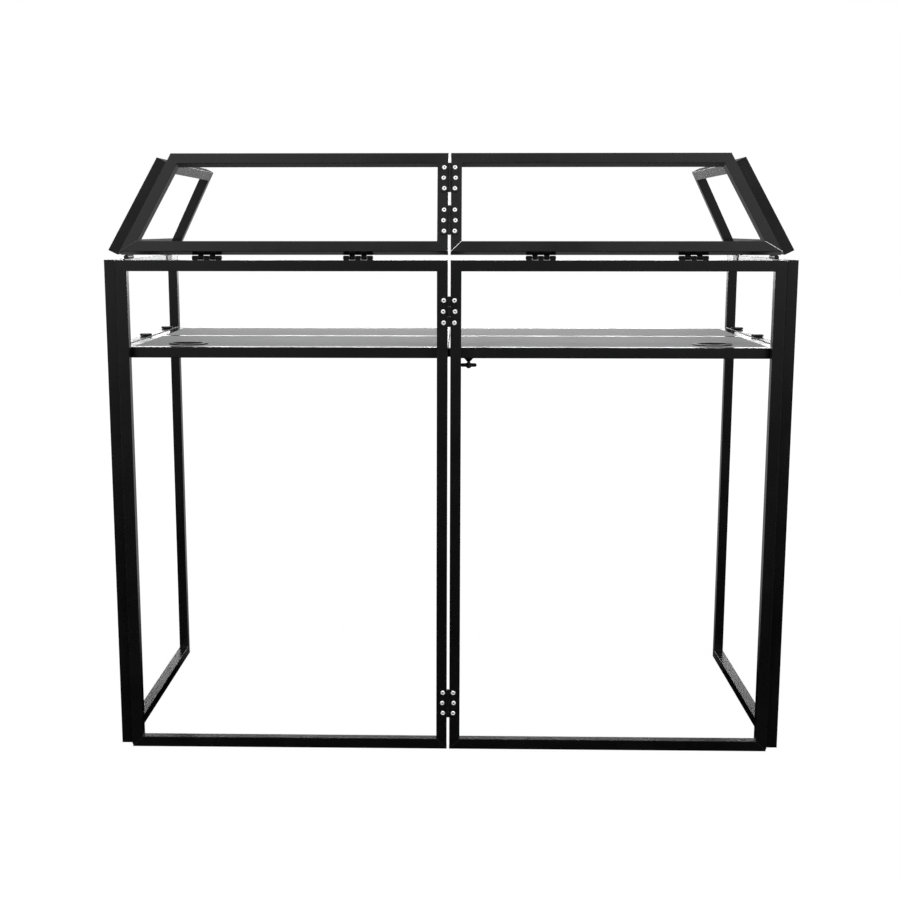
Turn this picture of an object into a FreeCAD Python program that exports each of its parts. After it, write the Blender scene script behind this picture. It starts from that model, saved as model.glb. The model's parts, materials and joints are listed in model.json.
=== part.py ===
import FreeCAD, Part
import math
import os
from types import SimpleNamespace

# Folding DJ booth: eight hinged box-section frames around a table in two halves.
# Millimetres and degrees. The origin lies on the floor under the middle of the footprint,
# +X points to the audience's right, -Y towards the audience and +Z up.

Vector = FreeCAD.Vector
Placement = FreeCAD.Placement
Rotation = FreeCAD.Rotation

X = Vector(1, 0, 0)
Y = Vector(0, 1, 0)
Z = Vector(0, 0, 1)

doc = FreeCAD.newDocument("folding_dj_booth")
sheet = doc.addObject("Spreadsheet::Sheet", "Sizes")
size = SimpleNamespace()

DRIVING_SIZES = [
    ("tube", 20.0, "side of the square box section"),
    ("wall", 1.5, "wall of the box section"),
    ("tube_round", 0.8, "rounding of the box section's outer edges"),
    ("front_width", 610.5, "width of one lower front frame"),
    ("frame_height", 935.0, "height of the lower frames"),
    ("side_length", 620.0, "length of a lower side frame"),
    ("centre_gap", 5.0, "gap between the two front frames"),
    ("corner_gap", 6.0, "side frame's inner face beyond the front frame's end"),
    ("corner_set", 2.0, "side frame's front end behind the front frame's rear face"),
    ("top_height", 190.0, "height of the upper frames along their slope"),
    ("tilt_gap", 8.0, "gap between lower and upper frames when upright"),
    ("lean_front", 20.0, "backward lean of the upper front frames"),
    ("lean_side", 26.0, "inward lean of the upper side frames"),
    ("hip_trim", 8.0, "upper front frame's foot short of the lower frame's outer end"),
    ("hip_set", 23.0, "upper side frame's foot behind the front frames' rear faces"),
    ("hinge_length", 54.0, "length of every hinge"),
    ("knuckle_r", 3.0, "outer radius of the centre and corner hinges' knuckles"),
    ("tilt_knuckle_r", 3.9, "outer radius of the tilt hinges' knuckles"),
    ("knuckle_gap", 0.5, "end play between neighbouring knuckles"),
    ("leaf_thick", 1.5, "thickness of the hinge leaves"),
    ("leaf_round", 2.5, "rounding of the hinge leaves' free corners"),
    ("narrow_leaf", 16.0, "centre hinge leaf, from pin axis to free edge"),
    ("wide_leaf", 19.0, "tilt and corner hinge leaf, from pin axis to free edge"),
    ("pin_r", 1.5, "radius of the hinge pins"),
    ("pin_head_r", 2.4, "radius of the pin heads"),
    ("pin_head", 0.8, "thickness of the pin heads"),
    ("running_fit", 0.05, "radial clearance of turning shafts"),
    ("hinge_inset", 93.0, "middle of a centre or corner hinge from the frame's end"),
    ("top_hinge_low", 59.0, "middle of the lower hinge on the upper front frames"),
    ("top_hinge_pitch", 82.0, "distance between the two upper centre hinges"),
    ("front_tilt_inset", 165.5, "middle of a tilt hinge from the front frame's end"),
    ("side_tilt_inset", 104.0, "middle of a tilt hinge from the side frame's end"),
    ("rivet_head_r", 4.2, "radius of the rivet heads"),
    ("rivet_crown_r", 3.1, "radius of the flat on top of the rivet heads"),
    ("rivet_head", 1.1, "height of the rivet heads"),
    ("rivet_r", 2.0, "radius of the rivet shanks"),
    ("rivet_eye_r", 1.9, "radius of the mandrel hole in the rivets"),
    ("rivet_eye", 0.8, "depth of the mandrel hole in the rivets"),
    ("rivet_tail", 2.0, "rivet shank beyond the box section's wall"),
    ("rivet_pitch", 20.3, "distance between the rivets of a centre hinge leaf"),
    ("rivet_line", 9.8, "outer rivets of a centre hinge leaf from the pin axis"),
    ("rivet_step", 1.1, "middle rivet further from the pin axis"),
    ("wide_rivet_line", 12.0, "rivets of a tilt or corner hinge leaf from the pin axis"),
    ("wide_rivet_pitch", 34.0, "distance between the rivets of a tilt or corner hinge leaf"),
    ("table_drop", 161.0, "table top below the top of the lower frames"),
    ("table_set", 8.5, "table's front face behind the front frames' rear faces"),
    ("table_depth", 553.5, "table from front to rear"),
    ("table_gap", 5.0, "slit between the two halves"),
    ("table_play", 5.5, "side of the table from the side frame's inner face"),
    ("cross_set", 291.5, "cross rail behind the table's front face"),
    ("board_thick", 6.0, "thickness of the boards"),
    ("batten_width", 12.0, "width of the battens under the boards"),
    ("batten_height", 5.0, "height of the battens"),
    ("grommet_in", 113.5, "grommet's axis inside the table's outer side"),
    ("grommet_set", 71.5, "grommet's axis behind the table's front face"),
    ("grommet_hole_r", 30.0, "radius of the grommet's hole in the board"),
    ("grommet_flange_r", 37.0, "radius of the grommet's flange"),
    ("grommet_flange", 2.5, "thickness of the grommet's flange"),
    ("grommet_wall", 2.5, "wall of the grommet's sleeve"),
    ("grommet_drop", 13.0, "sleeve below the board's top"),
    ("seat_fit", 0.1, "radial clearance of pieces seated in holes"),
    ("knob_front", 297.5, "front knobs behind the side frame's front end"),
    ("knob_rear", 101.5, "rear knobs before the side frame's rear end"),
    ("knob_r", 12.4, "radius of the knob heads"),
    ("knob_head", 4.5, "thickness of the knob heads"),
    ("knob_round", 1.4, "rounding of the knob heads"),
    ("knob_neck_r", 8.0, "radius of the neck under the knob head"),
    ("knob_neck", 0.4, "height of the neck under the knob head"),
    ("stud_r", 3.0, "radius of the knobs' and wing screw's threads"),
    ("insert_r", 6.0, "radius of the threaded inserts"),
    ("insert_length", 8.0, "length of the threaded inserts"),
    ("tab_back", 8.0, "support tab outside the knob's axis"),
    ("tab_rest", 18.0, "support tab's reach under the table's side rail"),
    ("tab_width", 26.0, "width of a support tab"),
    ("tab_thick", 3.0, "thickness of a support tab"),
    ("wing_set", 36.6, "wing screw's axis right of the middle of the booth"),
    ("boss_r", 9.2, "radius of the clamp boss at the rail"),
    ("boss_tip_r", 3.8, "radius of the clamp boss at its tip"),
    ("boss_height", 6.0, "height of the clamp boss"),
    ("wing_neck", 3.5, "bare thread between boss and wings"),
    ("wing_span", 30.0, "tip to tip of the wings"),
    ("wing_tall", 6.6, "height of the wings"),
    ("wing_thick", 4.4, "thickness of the wings"),
    ("wing_hub_r", 5.2, "radius of the wing screw's hub"),
    ("wing_hub", 7.6, "height of the wing screw's hub"),
    ("bar_side", 16.0, "side of the joining bar in the front rail"),
    ("bar_length", 140.0, "length of the joining bar"),
    ("overrun", 1.0, "how far cutting solids reach past a face"),
]


def write_size(alias, value, note):
    row = len(vars(size)) + 1
    sheet.set("A%d" % row, note)
    sheet.set("B%d" % row, repr(value))
    sheet.setAlias("B%d" % row, alias)
    setattr(size, alias, value)


def tan(angle):
    return math.tan(math.radians(angle))


def cos(angle):
    return math.cos(math.radians(angle))


for alias, value, note in DRIVING_SIZES:
    write_size(alias, value, note)

# Sizes worked out from the driving ones
front_share = cos(size.lean_front) * tan(size.lean_side)
side_share = cos(size.lean_side) * tan(size.lean_front)
front_angle = math.degrees(math.atan(front_share))
side_angle = math.degrees(math.atan(side_share))
RIGHT_ANGLE = 90.0

write_size("side_in", size.centre_gap / 2 + size.front_width + size.corner_gap, "side frame's inner face")
footprint = size.tube + size.corner_set + size.side_length
write_size("front_y", size.knuckle_r - footprint / 2, "front faces of the front frames")
write_size("back_y", size.front_y + size.tube, "rear faces of the front frames")
write_size("side_front_y", size.back_y + size.corner_set, "front ends of the side frames")
write_size("side_rear_y", size.side_front_y + size.side_length, "rear ends of the side frames")
write_size("tilt_z", size.frame_height + size.tilt_gap / 2, "height of the tilt axes")
write_size("middle_rail", size.side_length - 2 * size.tube, "length of a side frame's middle rail")
write_size("top_front_foot", size.front_width - size.hip_trim, "bottom edge of an upper front frame")
write_size("top_front_head", size.top_front_foot - size.top_height * front_share, "its top edge")
write_size("top_front_slant", size.top_height / cos(front_angle), "its slanted edge")
upper_depth = size.side_rear_y - size.back_y
write_size("top_side_foot", upper_depth - size.hip_set, "bottom edge of an upper side frame")
write_size("top_side_head", size.top_side_foot - size.top_height * side_share, "its top edge")
write_size("top_side_slant", size.top_height / cos(side_angle), "its slanted edge")
write_size("table_top", size.frame_height - size.table_drop, "height of the table top")
write_size("table_out", size.side_in - size.table_play, "table's outer side, from the middle")
write_size("table_half", size.table_out - size.table_gap / 2, "width of one table half")
write_size("table_inner_side", size.table_depth - size.tube, "a table half's inner side rail")
write_size("table_front_y", size.back_y + size.table_set, "table's front face")
write_size("table_inner", size.table_half - 2 * size.tube, "clear width inside a table half")
write_size("front_board", size.cross_set - size.tube, "depth of the front boards")
write_size("rear_board", size.table_depth - size.cross_set - 2 * size.tube, "depth of the rear boards")

support = size.tab_back + size.tube / 2 + size.table_play + size.tab_rest
write_size("tab_reach", support, "length of a support tab")
through = size.tube + size.tab_thick + size.insert_length
write_size("stud_length", through, "knob thread, through rail, tab and insert")

# Run of a mitre along the tube, as a share of the tube's side
write_size("square_share", 1 / tan(RIGHT_ANGLE / 2), "square corner")
write_size("front_foot_share", 1 / tan((RIGHT_ANGLE - front_angle) / 2), "sharp corner, upper front frame")
write_size("front_head_share", 1 / tan((RIGHT_ANGLE + front_angle) / 2), "blunt corner, upper front frame")
write_size("side_foot_share", 1 / tan((RIGHT_ANGLE - side_angle) / 2), "sharp corner, upper side frame")
write_size("side_head_share", 1 / tan((RIGHT_ANGLE + side_angle) / 2), "blunt corner, upper side frame")
write_size("butt_share", 0.0, "squarely cut end")
doc.recompute()


def bind(kind, name, **formulas):
    made = doc.addObject(kind, name)
    for prop, formula in formulas.items():
        made.setExpression(prop, formula)
    return made


def bound_box(name, length, width, height, at=Vector()):
    made = bind("Part::Box", name, Length=length, Width=width, Height=height)
    made.Placement = Placement(at, Rotation())
    return made


def bound_cylinder(name, radius, height, at=Vector(), along=Z):
    made = bind("Part::Cylinder", name, Radius=radius, Height=height)
    made.Placement = Placement(at, Rotation(Z, along))
    return made


def fuse(name, shapes):
    made = doc.addObject("Part::MultiFuse", name)
    made.Shapes = shapes
    made.Refine = True
    return made


def cut(name, base, tools):
    made = doc.addObject("Part::Cut", name)
    made.Base = base
    made.Tool = fuse(name + "_tools", tools) if len(tools) > 1 else tools[0]
    return made


def rounded(name, base, radius, chosen):
    """A solid with the edges that pass the test rounded."""
    base.recompute()
    made = doc.addObject("Part::Fillet", name)
    made.Base = base
    made.Edges = [(i + 1, radius, radius) for i, edge in enumerate(base.Shape.Edges) if chosen(edge)]
    return made


def runs_along(edge, axis):
    run = edge.Vertexes[-1].Point - edge.Vertexes[0].Point
    return run.cross(axis).Length < size.wall


def turned(place, pivot, axis, angle):
    there = Placement(pivot, Rotation(axis, angle))
    back = Placement(-pivot, Rotation())
    return there.multiply(back).multiply(place)


# Where each frame stands: x along the frame, y up its height, z out of its outer face
FRONT_AXES = Rotation(X, Z, -Y, "XYZ")
LEFT_AXES = Rotation(-Y, Z, -X, "XYZ")
RIGHT_AXES = Rotation(Y, Z, X, "XYZ")

half_gap = size.centre_gap / 2
top_z = size.frame_height + size.tilt_gap
front_pivot = Vector(0, size.back_y + size.tilt_knuckle_r, size.tilt_z)
left_pivot = Vector(-size.side_in + size.tilt_knuckle_r, 0, size.tilt_z)
right_pivot = Vector(size.side_in - size.tilt_knuckle_r, 0, size.tilt_z)

place = SimpleNamespace()
place.front_left = Placement(Vector(-half_gap - size.front_width, size.back_y, 0), FRONT_AXES)
place.front_right = Placement(Vector(half_gap, size.back_y, 0), FRONT_AXES)
place.side_left = Placement(Vector(-size.side_in, size.side_rear_y, 0), LEFT_AXES)
place.side_right = Placement(Vector(size.side_in, size.side_front_y, 0), RIGHT_AXES)
upright = Placement(Vector(-half_gap - size.top_front_foot, size.back_y, top_z), FRONT_AXES)
place.top_front_left = turned(upright, front_pivot, X, -size.lean_front)
upright = Placement(Vector(half_gap, size.back_y, top_z), FRONT_AXES)
place.top_front_right = turned(upright, front_pivot, X, -size.lean_front)
upright = Placement(Vector(-size.side_in, size.side_rear_y, top_z), LEFT_AXES)
place.top_side_left = turned(upright, left_pivot, Y, size.lean_side)
upright = Placement(Vector(size.side_in, size.back_y + size.hip_set, top_z), RIGHT_AXES)
place.top_side_right = turned(upright, right_pivot, Y, -size.lean_side)
table_base = size.table_top - size.tube
place.table_left = Placement(Vector(-size.table_out, size.table_front_y, table_base), Rotation())
place.table_right = Placement(Vector(size.table_gap / 2, size.table_front_y, table_base), Rotation())

# Outlines of the frames: corner points counter-clockwise, then the size that gives each edge's length
# and the mitre at each corner
h = size.frame_height
w = size.front_width
FRONT_OUTLINE = (
    [(0, 0), (w, 0), (w, h), (0, h)],
    ["front_width", "frame_height", "front_width", "frame_height"],
    ["square_share", "square_share", "square_share", "square_share"],
)
w = size.side_length
SIDE_OUTLINE = (
    [(0, 0), (w, 0), (w, h), (0, h)],
    ["side_length", "frame_height", "side_length", "frame_height"],
    ["square_share", "square_share", "square_share", "square_share"],
)
h = size.top_height
w = size.top_front_foot
head = size.top_front_head
TOP_FRONT_LEFT_OUTLINE = (
    [(0, 0), (w, 0), (w, h), (w - head, h)],
    ["top_front_foot", "top_height", "top_front_head", "top_front_slant"],
    ["front_foot_share", "square_share", "square_share", "front_head_share"],
)
TOP_FRONT_RIGHT_OUTLINE = (
    [(0, 0), (w, 0), (head, h), (0, h)],
    ["top_front_foot", "top_front_slant", "top_front_head", "top_height"],
    ["square_share", "front_foot_share", "front_head_share", "square_share"],
)
w = size.top_side_foot
head = size.top_side_head
TOP_SIDE_LEFT_OUTLINE = (
    [(0, 0), (w, 0), (head, h), (0, h)],
    ["top_side_foot", "top_side_slant", "top_side_head", "top_height"],
    ["square_share", "side_foot_share", "side_head_share", "square_share"],
)
TOP_SIDE_RIGHT_OUTLINE = (
    [(0, 0), (w, 0), (w, h), (w - head, h)],
    ["top_side_foot", "top_height", "top_side_head", "top_side_slant"],
    ["side_foot_share", "square_share", "square_share", "side_head_share"],
)
MIDDLE_RAIL = ((size.tube, size.table_top - size.tube), "middle_rail")

# Rails of the table halves: start, direction, length and both end mitres. The front rails end squarely
# at the slit, open for the joining bar, and the inner side rails butt against them
w = size.table_half
d = size.table_depth
t = size.tube
TABLE_LEFT_RAILS = [
    ((0, 0), 0, "table_half", "square_share", "butt_share"),
    ((w, t), RIGHT_ANGLE, "table_inner_side", "butt_share", "square_share"),
    ((w, d), 2 * RIGHT_ANGLE, "table_half", "square_share", "square_share"),
    ((0, d), -RIGHT_ANGLE, "table_depth", "square_share", "square_share"),
    ((t, size.cross_set), 0, "table_inner", "butt_share", "butt_share"),
]
TABLE_RIGHT_RAILS = [
    ((0, 0), 0, "table_half", "butt_share", "square_share"),
    ((w, 0), RIGHT_ANGLE, "table_depth", "square_share", "square_share"),
    ((w, d), 2 * RIGHT_ANGLE, "table_half", "square_share", "square_share"),
    ((0, d), -RIGHT_ANGLE, "table_inner_side", "square_share", "butt_share"),
    ((t, size.cross_set), 0, "table_inner", "butt_share", "butt_share"),
]


def frame_rails(outline, straight=None):
    corners, lengths, mitres = outline
    rails = []
    for i, start in enumerate(corners):
        end = corners[(i + 1) % len(corners)]
        angle = math.degrees(math.atan2(end[1] - start[1], end[0] - start[0]))
        rails.append((start, angle, lengths[i], mitres[i], mitres[(i + 1) % len(corners)]))
    if straight:
        start, length = straight
        rails.append((start, 0, length, "butt_share", "butt_share"))
    return rails


stud_hole = "Sizes.stud_r + Sizes.running_fit"


def holes_on_rail(name, spot, length, holes):
    """Cylinders for the holes that fall on one rail; a hole is (point in the frame, radius formula)."""
    tools = []
    for point, radius in holes:
        local = spot.inverse().multVec(point)
        inside = 0 < local.x < length and 0 < local.y < size.tube
        if not inside:
            continue
        from_rear = local.z < size.tube / 2
        level = -size.overrun if from_rear else size.tube - size.wall - size.overrun
        at = Vector(local.x, local.y, level)
        height = "Sizes.wall + 2 * Sizes.overrun"
        tools.append(bound_cylinder("%s_hole_%d" % (name, len(tools)), radius, height, at))
    return tools


def studs_on_rail(name, spot, length, studs):
    """Cylinders right through a rail, across its window side, for the studs that fall on it."""
    tools = []
    for point in studs:
        local = spot.inverse().multVec(point)
        if not (0 < local.x < length and 0 < local.y < size.tube):
            continue
        at = Vector(local.x, -size.overrun, size.tube / 2)
        height = "Sizes.tube + 2 * Sizes.overrun"
        tools.append(bound_cylinder("%s_stud_%d" % (name, len(tools)), stud_hole, height, at, Y))
    return tools


def rail(name, spot, length, lead, trail, holes, studs):
    """One hollow mitred tube, x along its outer edge, y towards the window, z towards the outer face."""
    long = "Sizes." + length
    lead = "Sizes." + lead
    trail = "Sizes." + trail
    outside = bind(
        "Part::Wedge", name + "_outside",
        Xmin="0", Ymin="0", Zmin="0", Z2min="0",
        X2min="%s * Sizes.tube" % lead,
        Xmax=long,
        X2max="%s - %s * Sizes.tube" % (long, trail),
        Ymax="Sizes.tube", Zmax="Sizes.tube", Z2max="Sizes.tube",
    )
    solid = rounded(name + "_solid", outside, size.tube_round, lambda edge: runs_along(edge, X))
    far_wall = "(Sizes.tube - Sizes.wall)"
    hollow = bind(
        "Part::Wedge", name + "_hollow",
        Ymin="Sizes.wall", Zmin="Sizes.wall", Z2min="Sizes.wall",
        Xmin="%s * Sizes.wall - Sizes.overrun" % lead,
        X2min="%s * %s - Sizes.overrun" % (lead, far_wall),
        Xmax="%s - %s * Sizes.wall + Sizes.overrun" % (long, trail),
        X2max="%s - %s * %s + Sizes.overrun" % (long, trail, far_wall),
        Ymax=far_wall, Zmax=far_wall, Z2max=far_wall,
    )
    tools = [hollow] + holes_on_rail(name, spot, getattr(size, length), holes)
    tools += studs_on_rail(name, spot, getattr(size, length), studs)
    made = cut(name, solid, tools)
    made.Placement = spot
    return made


def frame(label, rails, holes, studs):
    tubes = []
    for i, (start, angle, length, lead, trail) in enumerate(rails):
        spot = Placement(Vector(start[0], start[1], 0), Rotation(Z, angle))
        tubes.append(rail("%s_rail_%d" % (label, i), spot, length, lead, trail, holes, studs))
    made = doc.addObject("Part::Compound", label)
    made.Links = tubes
    return made


# Hinge leaf: x along the pin, y across the leaf, z out of the face it is riveted to; the pin axis is
# y = z = 0, and bulk names the knuckles' radius
def hinge_leaf(name, knuckles, own, width, rivets, bulk):
    notch = "(Sizes.%s + Sizes.knuckle_gap)" % bulk
    bulk_r = getattr(size, bulk)
    level = Vector(0, 0, -bulk_r)
    root = bulk_r + size.knuckle_gap
    plate = bound_box(
        name + "_plate", "Sizes.hinge_length", "%s - %s" % (width, notch), "Sizes.leaf_thick",
        level + Vector(0, root, 0),
    )
    solids = [rounded(
        name + "_rounded", plate, size.leaf_round,
        lambda edge: runs_along(edge, Z) and edge.CenterOfMass.y > root + size.overrun,
    )]
    step = size.hinge_length / knuckles
    for i in own:
        trims = (i > 0) + (i < knuckles - 1)
        length = "Sizes.hinge_length / %d - %d * Sizes.knuckle_gap / 2" % (knuckles, trims)
        start = i * step + (size.knuckle_gap / 2 if i > 0 else 0)
        at = Vector(start, 0, 0)
        solids.append(bound_box("%s_strip_%d" % (name, i), length, notch, "Sizes.leaf_thick", at + level))
        solids.append(bound_cylinder("%s_knuckle_%d" % (name, i), "Sizes." + bulk, length, at, X))
    body = fuse(name + "_body", solids)
    bore_at = Vector(-size.overrun, 0, 0)
    bore = "Sizes.hinge_length + 2 * Sizes.overrun"
    tools = [bound_cylinder(name + "_bore", "Sizes.pin_r + Sizes.running_fit", bore, bore_at, X)]
    for i, (along, across) in enumerate(rivets):
        at = Vector(along, across, -bulk_r - size.overrun)
        depth = "Sizes.leaf_thick + 2 * Sizes.overrun"
        radius = "Sizes.rivet_r + Sizes.running_fit"
        tools.append(bound_cylinder("%s_hole_%d" % (name, i), radius, depth, at))
    return cut(name, body, tools)


middle = size.hinge_length / 2
NARROW_RIVETS = [
    (middle - size.rivet_pitch, size.rivet_line),
    (middle, size.rivet_line + size.rivet_step),
    (middle + size.rivet_pitch, size.rivet_line),
]
WIDE_RIVETS = [
    (middle - size.wide_rivet_pitch / 2, size.wide_rivet_line),
    (middle + size.wide_rivet_pitch / 2, size.wide_rivet_line),
]

NARROW = ("Sizes.narrow_leaf", NARROW_RIVETS, "knuckle_r")
CORNER = ("Sizes.wide_leaf", WIDE_RIVETS, "knuckle_r")
TILT = ("Sizes.wide_leaf", WIDE_RIVETS, "tilt_knuckle_r")
outer_leaf = hinge_leaf("outer_leaf", 3, (0, 2), *NARROW)
inner_leaf = hinge_leaf("inner_leaf", 3, (1,), *NARROW)
corner_outer_leaf = hinge_leaf("corner_outer_leaf", 5, (0, 2, 4), *CORNER)
corner_inner_leaf = hinge_leaf("corner_inner_leaf", 5, (1, 3), *CORNER)
tilt_outer_leaf = hinge_leaf("tilt_outer_leaf", 5, (0, 2, 4), *TILT)
tilt_inner_leaf = hinge_leaf("tilt_inner_leaf", 5, (1, 3), *TILT)

# Hinge pin with a head at each end, and the short headed pin of the upper centre hinges
head_at = Vector(-size.pin_head, 0, 0)
tail_at = Vector(size.hinge_length, 0, 0)
hinge_pin = fuse("hinge_pin", [
    bound_cylinder("hinge_pin_shaft", "Sizes.pin_r", "Sizes.hinge_length", Vector(), X),
    bound_cylinder("hinge_pin_head", "Sizes.pin_head_r", "Sizes.pin_head", head_at, X),
    bound_cylinder("hinge_pin_tail", "Sizes.pin_head_r", "Sizes.pin_head", tail_at, X),
])
end_knuckle = "Sizes.hinge_length / 3 - Sizes.knuckle_gap / 2"
short_pin = fuse("short_pin", [
    bound_cylinder("short_pin_shaft", "Sizes.pin_r", end_knuckle, Vector(), X),
    bound_cylinder("short_pin_head", "Sizes.pin_head_r", "Sizes.pin_head", head_at, X),
])

# Blind rivet: the underside of its head is at z = 0
rivet_head = bind(
    "Part::Cone", "rivet_head",
    Radius1="Sizes.rivet_head_r", Radius2="Sizes.rivet_crown_r", Height="Sizes.rivet_head",
)
rivet_shank = bound_cylinder(
    "rivet_shank", "Sizes.rivet_r", "Sizes.leaf_thick + Sizes.wall + Sizes.rivet_tail + Sizes.rivet_head",
    Vector(0, 0, -size.leaf_thick - size.wall - size.rivet_tail),
)
rivet_eye = bound_cylinder(
    "rivet_hole", "Sizes.rivet_eye_r", "Sizes.rivet_eye + Sizes.overrun",
    Vector(0, 0, size.rivet_head - size.rivet_eye),
)
rivet = cut("rivet", fuse("rivet_blank", [rivet_head, rivet_shank]), [rivet_eye])
doc.recompute()


# Leaves on a frame: middles of the pin axes, direction across the leaf and normal, all in the frame's own
# axes
def leaf_spots(frame_place, axis_middles, across, normal):
    along = across.cross(normal)
    facing = Rotation(along, across, normal, "XYZ")
    starts = [middle - along * (size.hinge_length / 2) for middle in axis_middles]
    return [frame_place.multiply(Placement(start, facing)) for start in starts]


def rivet_spots(leaves, rivets, bulk_r):
    level = size.leaf_thick - bulk_r
    points = [Placement(Vector(along, across, level), Rotation()) for along, across in rivets]
    return [leaf.multiply(point) for leaf in leaves for point in points]


def rivet_holes(frame_place, spots):
    """Rivet places as points in a frame's own axes, at the wall they pass through."""
    inward = Vector(0, 0, -size.leaf_thick - size.wall / 2)
    to_frame = frame_place.inverse()
    radius = "Sizes.rivet_r + Sizes.running_fit"
    return [(to_frame.multVec(spot.multVec(inward)), radius) for spot in spots]


r = size.knuckle_r
tilt_r = size.tilt_knuckle_r
tilt_half = size.tilt_gap / 2
heights = [size.hinge_inset, size.frame_height - size.hinge_inset]
top_heights = [size.top_hinge_low, size.top_hinge_low + size.top_hinge_pitch]
front_tilts = [size.front_tilt_inset, size.front_width - size.front_tilt_inset]
side_tilts = [size.side_tilt_inset, size.side_length - size.side_tilt_inset]
width = size.front_width
length = size.side_length
foot = size.top_front_foot
# The corner pin in the side frame's and in the front frame's own axes
corner_out = size.corner_gap - r
corner_in = r - size.corner_set

spots = SimpleNamespace()
pins = [Vector(width + half_gap, v, t + r) for v in heights]
spots.centre_left = leaf_spots(place.front_left, pins, -X, Z)
pins = [Vector(-half_gap, v, t + r) for v in heights]
spots.centre_right = leaf_spots(place.front_right, pins, X, Z)
pins = [Vector(-corner_out, v, -r) for v in heights]
spots.front_corner_left = leaf_spots(place.front_left, pins, X, -Z)
pins = [Vector(width + corner_out, v, -r) for v in heights]
spots.front_corner_right = leaf_spots(place.front_right, pins, -X, -Z)
pins = [Vector(length - corner_in, v, -r) for v in heights]
spots.side_corner_left = leaf_spots(place.side_left, pins, -X, -Z)
pins = [Vector(corner_in, v, -r) for v in heights]
spots.side_corner_right = leaf_spots(place.side_right, pins, X, -Z)

low = size.frame_height + tilt_half
pins = [Vector(u, low, -tilt_r) for u in front_tilts]
spots.front_tilt_left = leaf_spots(place.front_left, pins, -Y, -Z)
spots.front_tilt_right = leaf_spots(place.front_right, pins, -Y, -Z)
pins = [Vector(u, low, -tilt_r) for u in side_tilts]
spots.side_tilt_left = leaf_spots(place.side_left, pins, -Y, -Z)
spots.side_tilt_right = leaf_spots(place.side_right, pins, -Y, -Z)

# The same pin axes in the upper frames, whose feet are shorter by the hip
left_hip = size.front_width - size.top_front_foot
right_hip = size.side_length - size.top_side_foot
up = -tilt_half
pins = [Vector(u - left_hip, up, -tilt_r) for u in front_tilts]
spots.top_tilt_left = leaf_spots(place.top_front_left, pins, Y, -Z)
pins = [Vector(u, up, -tilt_r) for u in front_tilts]
spots.top_tilt_right = leaf_spots(place.top_front_right, pins, Y, -Z)
pins = [Vector(u, up, -tilt_r) for u in side_tilts]
spots.top_side_left = leaf_spots(place.top_side_left, pins, Y, -Z)
pins = [Vector(u - right_hip, up, -tilt_r) for u in side_tilts]
spots.top_side_right = leaf_spots(place.top_side_right, pins, Y, -Z)
pins = [Vector(foot + half_gap, v, t + r) for v in top_heights]
spots.top_centre_left = leaf_spots(place.top_front_left, pins, -X, Z)
pins = [Vector(-half_gap, v, t + r) for v in top_heights]
spots.top_centre_right = leaf_spots(place.top_front_right, pins, X, Z)

rivets = SimpleNamespace()
rivets.front_left = rivet_spots(spots.centre_left, NARROW_RIVETS, r)
rivets.front_left += rivet_spots(spots.front_corner_left, WIDE_RIVETS, r)
rivets.front_left += rivet_spots(spots.front_tilt_left, WIDE_RIVETS, tilt_r)
rivets.front_right = rivet_spots(spots.centre_right, NARROW_RIVETS, r)
rivets.front_right += rivet_spots(spots.front_corner_right, WIDE_RIVETS, r)
rivets.front_right += rivet_spots(spots.front_tilt_right, WIDE_RIVETS, tilt_r)
rivets.side_left = rivet_spots(spots.side_corner_left, WIDE_RIVETS, r)
rivets.side_left += rivet_spots(spots.side_tilt_left, WIDE_RIVETS, tilt_r)
rivets.side_right = rivet_spots(spots.side_corner_right, WIDE_RIVETS, r)
rivets.side_right += rivet_spots(spots.side_tilt_right, WIDE_RIVETS, tilt_r)
rivets.top_front_left = rivet_spots(spots.top_centre_left, NARROW_RIVETS, r)
rivets.top_front_left += rivet_spots(spots.top_tilt_left, WIDE_RIVETS, tilt_r)
rivets.top_front_right = rivet_spots(spots.top_centre_right, NARROW_RIVETS, r)
rivets.top_front_right += rivet_spots(spots.top_tilt_right, WIDE_RIVETS, tilt_r)
rivets.top_side_left = rivet_spots(spots.top_side_left, WIDE_RIVETS, tilt_r)
rivets.top_side_right = rivet_spots(spots.top_side_right, WIDE_RIVETS, tilt_r)

nodes = []


def keep(node):
    nodes.append(node)
    return node


def group(label, template, places):
    """Separate copies of one piece, kept together under one name."""
    copies = []
    for spot in places:
        copy = template.Shape.copy()
        copy.Placement = spot.multiply(copy.Placement)
        copies.append(copy)
    node = doc.addObject("Part::Feature", label)
    node.Shape = Part.makeCompound(copies) if len(copies) > 1 else copies[0]
    return keep(node)


# The eight frames; the side frames' middle rails are bored for the knobs' studs
rear_knob = size.side_length - size.knob_rear
knob_v = size.table_top - t / 2
left_studs = [Vector(size.side_length - u, knob_v, 0) for u in (size.knob_front, rear_knob)]
right_studs = [Vector(u, knob_v, 0) for u in (size.knob_front, rear_knob)]
FRAMES = [
    ("front_frame_left", "front_left", FRONT_OUTLINE, None, []),
    ("front_frame_right", "front_right", FRONT_OUTLINE, None, []),
    ("side_frame_left", "side_left", SIDE_OUTLINE, MIDDLE_RAIL, left_studs),
    ("side_frame_right", "side_right", SIDE_OUTLINE, MIDDLE_RAIL, right_studs),
    ("top_front_frame_left", "top_front_left", TOP_FRONT_LEFT_OUTLINE, None, []),
    ("top_front_frame_right", "top_front_right", TOP_FRONT_RIGHT_OUTLINE, None, []),
    ("top_side_frame_left", "top_side_left", TOP_SIDE_LEFT_OUTLINE, None, []),
    ("top_side_frame_right", "top_side_right", TOP_SIDE_RIGHT_OUTLINE, None, []),
]
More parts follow.
